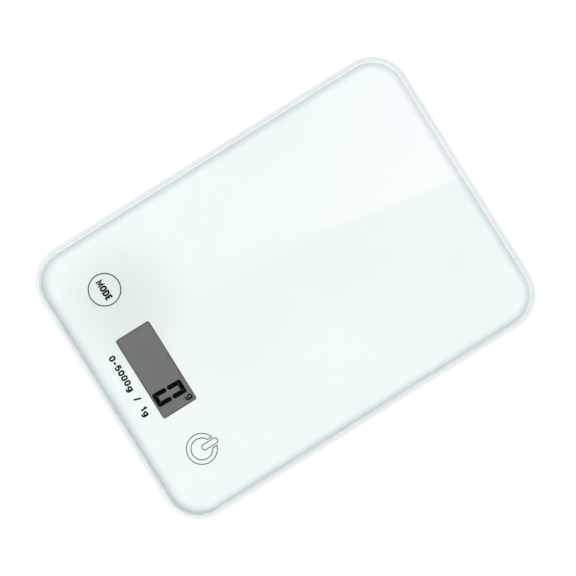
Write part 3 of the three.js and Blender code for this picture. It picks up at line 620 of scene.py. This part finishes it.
def smoothing_group():
    """Joins a CAD mesh's corners and shades it smooth across edges up to 28 degrees."""
    group = bpy.data.node_groups.new("smooth_by_angle", "GeometryNodeTree")
    for direction in ("INPUT", "OUTPUT"):
        group.interface.new_socket(
            "Geometry", in_out=direction, socket_type="NodeSocketGeometry"
        )
    source = add_node(group, "NodeGroupInput")
    merged = add_node(
        group, "GeometryNodeMergeByDistance", {0: source.outputs[0], "Distance": 1e-6}
    )
    bare = add_node(
        group, "GeometryNodeRemoveAttribute", {0: merged.outputs[0], "Name": "custom_normal"}
    )
    round_all = add_node(group, "GeometryNodeSetShadeSmooth", {0: bare.outputs[0]})
    angle = add_node(group, "GeometryNodeInputMeshEdgeAngle")
    gentle = add_node(
        group,
        "FunctionNodeCompare",
        {0: angle.outputs[0], 1: math.radians(28)},
        data_type="FLOAT",
        operation="LESS_EQUAL",
    )
    sharp = add_node(
        group,
        "GeometryNodeSetShadeSmooth",
        {0: round_all.outputs[0], "Shade Smooth": gentle.outputs[0]},
        domain="EDGE",
    )
    target = add_node(group, "NodeGroupOutput")
    group.links.new(sharp.outputs[0], target.inputs[0])
    return group


# ---- Pieces ----


def make_glass(material, edge_material):
    """The platform, with a polished edge that is a little rounded."""
    rounding, flat_margin = 0.2, 0.8  # the margin's ring keeps the face's shading flat
    edge = quarter_round(rounding, 0.0)
    under = [(rounding + flat_margin, 0.0)] + edge
    profile = [(inset, GLASS_BOTTOM + rise) for inset, rise in under]
    profile += [(inset, GLASS_TOP - rise) for inset, rise in reversed(under)]
    rings = []
    for inset, z in profile:
        inset += GLASS_INSET
        ring = rounded_rectangle(HALF_X - inset, HALF_Y - inset, CORNER - inset)
        rings.append([(x, y, z) for x, y in ring])
    piece = add_piece("glass_plate", mesh_from_rings("glass_plate", rings, 50), material)
    piece.data.materials.append(edge_material)
    for face in piece.data.polygons:
        if abs(face.normal.z) < 0.8:
            face.material_index = 1
    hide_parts("glass_platform")


def make_print(material):
    """The white layer behind the glass, with its window over the display."""
    inset = PRINT_INSET
    outline = rounded_rectangle(HALF_X - inset, HALF_Y - inset, CORNER - inset)
    half_x, half_y, corner = WINDOW["half_x"], WINDOW["half_y"], WINDOW["corner"]
    window = rounded_rectangle(half_x, half_y, corner, 6, WINDOW["x"], WINDOW["y"])
    mesh = plate_mesh("white_print_layer", [outline, window], PRINT_BOTTOM, PRINT_TOP)
    piece = add_piece("white_print_layer", mesh, material)
    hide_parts("back_print")


def add_lines(name, lines, mark, ink):
    """A printed mark: lines of the mark's width, in ink on the print."""
    add_piece(name, strips_mesh(name, lines, mark["line"], INK_LEVELS), ink)


def word(text, mark):
    """The lines of a word that fills the mark's place."""
    return lettering(text, mark["left"], mark["right"], mark["base"], mark["height"])


def make_unit_key(black, grey):
    """A ring round a plain word."""
    steps = 96
    ring = arc(UNIT_KEY["radius"], 0, 360 - 360 / steps, steps - 1, UNIT_KEY["x"], UNIT_KEY["y"])
    add_lines("unit_key_ring", [(ring, True)], UNIT_KEY, grey)
    add_lines("unit_key_word", word("MODE", UNIT_WORD), UNIT_WORD, black)


def make_limits(black):
    """The range and the step, below the window."""
    limits = []
    for text, left, right in LIMIT_WORDS:
        limits += lettering(text, left, right, LIMITS["base"], LIMITS["height"])
    add_lines("range_and_step", limits, LIMITS, black)


def make_power_key(grey):
    """A power sign in outline: a broken ring, and a bar in its gap."""
    x, y = POWER_KEY["x"], POWER_KEY["y"]
    outer, inner = POWER_KEY["outer"], POWER_KEY["inner"]
    open_at = [math.degrees(math.acos(POWER_KEY["half_gap"] / r)) for r in (outer, inner)]
    around = arc(outer, 180 - open_at[0], 360 + open_at[0], 60, x, y)
    back = arc(inner, 360 + open_at[1], 180 - open_at[1], 50, x, y)
    add_lines("power_key_loop", [(around + back, True)], POWER_KEY, grey)
    half_x, half_y, corner = POWER_BAR["half_x"], POWER_BAR["half_y"], POWER_BAR["corner"]
    capsule = rounded_rectangle(half_x, half_y, corner, 8, x, POWER_BAR["y"])
    add_lines("power_key_bar", [(capsule, True)], POWER_KEY, grey)


def upright_segment(x0, x1, low, high, slope):
    """A display stroke: its foot is cut aslant, outwards by slope, and its top ends in a point."""
    middle = (x0 + x1) / 2
    side = math.copysign(1, slope)
    outer, inner = (x0, x1) if side > 0 else (x1, x0)
    return [
        (outer, low + DIGIT_CORNER),
        (outer + side * DIGIT_CORNER, low + DIGIT_CORNER / 4),
        (inner, low + abs(slope)),
        (inner, high - DIGIT_POINT),
        (middle, high),
        (outer, high - DIGIT_POINT),
    ]


def zero_figure():
    """The six strokes of a seven-segment zero, as corner lists named by their places."""
    corner = DIGIT_CORNER
    x0, x1, y0, y1 = DIGIT["left"], DIGIT["right"], DIGIT["base"], DIGIT["top"]
    thick, gap = DIGIT["thick"], DIGIT["gap"]
    middle = (y0 + y1) / 2
    strokes = {}
    for side, low, turn in (("lower", y0, 1), ("upper", y1, -1)):
        reach = abs(middle - low)
        flat = [
            (x0 + corner + gap, 0),
            (x1 - corner - gap, 0),
            (x1 - gap - corner / 2, corner / 3),
            (x1 - thick - gap / 2, thick),
            (x0 + thick + gap / 2, thick),
            (x0 + gap + corner / 2, corner / 3),
        ]
        pieces = {
            "flat": flat,
            "left": upright_segment(x0, x0 + thick, gap, reach - gap, thick),
            "right": upright_segment(x1 - thick, x1, gap, reach - gap, -thick),
        }
        for place, corners in pieces.items():
            strokes[f"{side}_{place}"] = [(x, low + turn * y) for x, y in corners]
    return strokes


def make_reading(ink):
    """The reading on the panel: a leaning seven-segment zero and the unit beside it."""
    for place, corners in zero_figure().items():
        leaning = [(x + DIGIT_LEAN * (y - DIGIT["base"]), y) for x, y in corners]
        name = f"digit_{place}"
        add_piece(name, upright_prism(name, leaning, *READING_LEVELS), ink)
    gram = strips_mesh("digit_unit", word("g", DIGIT_UNIT), DIGIT_UNIT["line"], READING_LEVELS)
    add_piece("digit_unit", gram, ink)


def square_rings(profile, half, corner, x, y):
    """Rings round an upright, round-cornered square at (x, y), from (inset, z) pairs."""
    rings = []
    for inset, z in profile:
        side = half - inset
        ring = rounded_rectangle(side, side, max(0.3, corner - inset), 8, x, y)
        rings.append([(px, py, z) for px, py in ring])
    return rings


def pad_profile():
    """Across a pad's underside with its ridges, from the middle outwards and up its side."""
    groove, top = PAD["groove"], PAD["top"]
    profile = [(12.4, groove)]
    for inset in PAD_RIDGES:
        profile += [(inset, groove), (inset - 0.3, 0.0), (inset - 2.1, 0.0), (inset - 2.4, groove)]
    return profile + quarter_round(0.4, 0.0) + [(0.0, top - 0.15), (0.15, top)]


def cup_profile():
    """Up a cup's side, over its wall, and down past the cell's shelf to the cavity's floor."""
    top, shelf = CUP["top"], CUP["shelf"]
    wall = [(0.0, top - 0.2), (0.2, top), (3.0, top), (3.2, top - 0.2)]
    cavity = [(3.2, shelf), (6.0, shelf), (6.0, CUP["cavity_floor"])]
    return quarter_round(0.8, CUP["bottom"]) + wall + cavity


def make_feet(plastic, rubber):
    """Finer feet: cups with round edges, and pads with moulded ridges on the face below."""
    for corner_name in ("front_left", "front_right", "back_left", "back_right"):
        low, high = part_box(f"foot_pad_{corner_name}")
        x, y = (low.x + high.x) / 2 / MM, (low.y + high.y) / 2 / MM
        for kind, size, profile, material, slot in (
            ("pad", PAD, pad_profile(), rubber, "rubber"),
            ("cup", CUP, cup_profile(), plastic, "housing"),
        ):
            name = f"{kind}_{corner_name}"
            rings = square_rings(profile, size["half"], size["corner"], x, y)
            mesh = mesh_from_rings(name, rings)
            piece = add_piece(name, mesh, material, f"{corner_name}_foot")
            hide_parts(f"foot_{name}")


def dress_cad(materials, group):
    """Gives every CAD node that still shows its material and its smoothing."""
    for entry in frame["record"]["subparts"]:
        node = frame["nodes"][entry["node"]]
        material = materials[entry["material_slot"]]
        if not node.material_slots:
            node.data.materials.append(material)
        for slot in node.material_slots:
            slot.link = "OBJECT"
            slot.material = material
        modifier = node.modifiers.new("smooth", "NODES")
        modifier.node_group = group


# ---- Stage: a pale floor, soft light all round, and the screen that the glass mirrors ----
SCREEN_HEIGHT = 3200.0  # above the glass
SCREEN_COVERS = (200.0, 260.0)  # what the screen covers on the glass, across and along
SCREEN_STRENGTH = 0.75
FLOOR_SIZE = 30000.0
FLOOR_GLOW = (0.12, 0.35)  # for the light it gives, and as the camera sees it
WORLD_STRENGTH = (0.8, 1.0)
# Each lamp's name, its diameter in metres, its watts, and its place in metres
LAMPS = (("overhead", 3.0, 48, (0.2, -0.3, 3.6)), ("key", 1.4, 5, (0.3, -1.2, 1.8)))


def make_floor():
    """A white floor, whose own glow is mostly for the camera and lights the object less."""
    material, tree, shader = start_material("pale_floor")
    shader.inputs["Base Color"].default_value = rgb(0.9, 0.9, 0.9)
    shader.inputs["Roughness"].default_value = 0.9
    shader.inputs["Emission Color"].default_value = rgb(1, 1, 1)
    path = add_node(tree, "ShaderNodeLightPath")
    glow = remap(tree, path.outputs["Is Camera Ray"], 0, 1, *FLOOR_GLOW)
    tree.links.new(glow, shader.inputs["Emission Strength"])
    bpy.ops.mesh.primitive_plane_add(size=FLOOR_SIZE * MM, location=(0, 0, 0))
    floor = bpy.context.object
    floor.name = "floor"
    floor.data.materials.append(material)


def make_light():
    """A white world, which the camera sees a quarter brighter, and two round lamps."""
    bpy.context.scene.view_settings.view_transform = "Standard"
    world = bpy.data.worlds.new("studio")
    bpy.context.scene.world = world
    world.use_nodes = True
    background = world.node_tree.nodes["Background"]
    background.inputs["Color"].default_value = rgb(1, 1, 1)
    path = add_node(world.node_tree, "ShaderNodeLightPath")
    seen = remap(world.node_tree, path.outputs["Is Camera Ray"], 0, 1, *WORLD_STRENGTH)
    world.node_tree.links.new(seen, background.inputs["Strength"])
    for name, size, energy, place in LAMPS:
        light = bpy.data.lights.new(name, "AREA")
        light.shape = "DISK"
        light.size = size
        light.energy = energy
        lamp = bpy.data.objects.new(name, light)
        bpy.context.scene.collection.objects.link(lamp)
        lamp.location = place
        lamp.rotation_euler = (-lamp.location).to_track_quat("-Z", "Y").to_euler()


def screen_glow(tree, across, along):
    """How brightly the screen is lit, in glass coordinates.

    The lit patch lies left of a curve that bends away to the left as it comes nearer. It is dim
    beyond a slanted line on the left, and it fades towards the user and towards the left.
    """
    drop = remap(tree, along, 106, 25, 0, 1)
    curve = math_node(tree, "MULTIPLY", math_node(tree, "POWER", drop, 1.2), -15.5)
    past = math_node(tree, "SUBTRACT", across, math_node(tree, "ADD", curve, -1.0))
    softness = remap(tree, along, 60, 0, 0.6, 4)
    inside = remap(tree, math_node(tree, "DIVIDE", past, softness), -0.5, 0.5, 1, 0)
    slant = math_node(tree, "ADD", across, math_node(tree, "MULTIPLY", along, 0.47))
    beyond = remap(tree, slant, -51, -41, 0.35, 1)
    fade = math_node(tree, "POWER", remap(tree, along, -42, 95, 0, 1), 0.75)
    left = remap(tree, across, -80, -10, 0.6, 1)
    glow = math_node(tree, "MULTIPLY", inside, beyond)
    for factor in (fade, left):
        glow = math_node(tree, "MULTIPLY", glow, factor)
    return math_node(tree, "MULTIPLY", glow, SCREEN_STRENGTH)


def make_overhead():
    """A dark screen over the camera, whose lit patch is what the far left of the glass mirrors.

    The screen is larger than what it covers on the glass by the spread of the mirrored view.
    """
    spread = SCREEN_HEIGHT / CAMERA_HEIGHT
    bpy.ops.mesh.primitive_plane_add(size=1)
    screen = bpy.context.object
    screen.name = "overhead_screen"
    x, y = (-c * spread * MM for c in CAMERA_AT)
    screen.location = (x, y, (SCREEN_HEIGHT + GLASS_TOP) * MM)
    covered_x, covered_y = SCREEN_COVERS
    screen.scale = (covered_x * (1 + spread) * MM, covered_y * (1 + spread) * MM, 1)
    material = bpy.data.materials.new("screen_light")
    material.use_nodes = True
    tree = material.node_tree
    tree.nodes.remove(tree.nodes["Principled BSDF"])
    split = add_node(tree, "ShaderNodeSeparateXYZ", {0: coordinates(tree)})
    across = math_node(tree, "MULTIPLY", split.outputs[0], covered_x)
    along = math_node(tree, "MULTIPLY", split.outputs[1], covered_y)
    inputs = {"Color": rgb(1.0, 0.4, 0.65), "Strength": screen_glow(tree, across, along)}
    light = add_node(tree, "ShaderNodeEmission", inputs)
    tree.links.new(light.outputs[0], tree.nodes["Material Output"].inputs["Surface"])
    screen.data.materials.append(material)


make_camera()
housing = moulded_plastic("housing_abs", (0.72, 0.735, 0.765))
rubber = rubber_material()
steel = metal_material("sheet_steel", (0.62, 0.63, 0.64), 0.3)
black_ink = ink_material("black_ink", (0.006, 0.006, 0.008))
grey_ink = ink_material("grey_ink", (0.085, 0.085, 0.09))
by_slot = {
    "glass": glass_material(),
    "back_print": print_material(),
    "tape": foam_material(),
    "housing": housing,
    "lcd": lcd_material(),
    "black_plastic": moulded_plastic("black_plastic", (0.012, 0.012, 0.014), 0.5),
    "circuit_board": board_material(),
    "rubber": rubber,
    "white_plastic": moulded_plastic("white_plastic", (0.78, 0.78, 0.74), 0.5),
    "battery_jacket": jacket_material(),
    "label": metal_material("label_film", (0.80, 0.81, 0.83), 0.35),
    "red_insulation": insulation_material("red_insulation", (0.45, 0.02, 0.02)),
    "black_insulation": insulation_material("black_insulation", (0.015, 0.015, 0.015)),
    "white_insulation": insulation_material("white_insulation", (0.78, 0.78, 0.74)),
    "steel": steel,
    "spring_steel": metal_material("nickel_spring", (0.74, 0.72, 0.66), 0.2),
}
dress_cad(by_slot, smoothing_group())
make_glass(by_slot["glass"], glass_edge_material())
make_print(by_slot["back_print"])
make_unit_key(black_ink, grey_ink)
make_limits(black_ink)
make_power_key(grey_ink)
make_reading(ink_material("lcd_ink", (0.004, 0.004, 0.005)))
make_feet(housing, rubber)
make_floor()
make_light()
make_overhead()
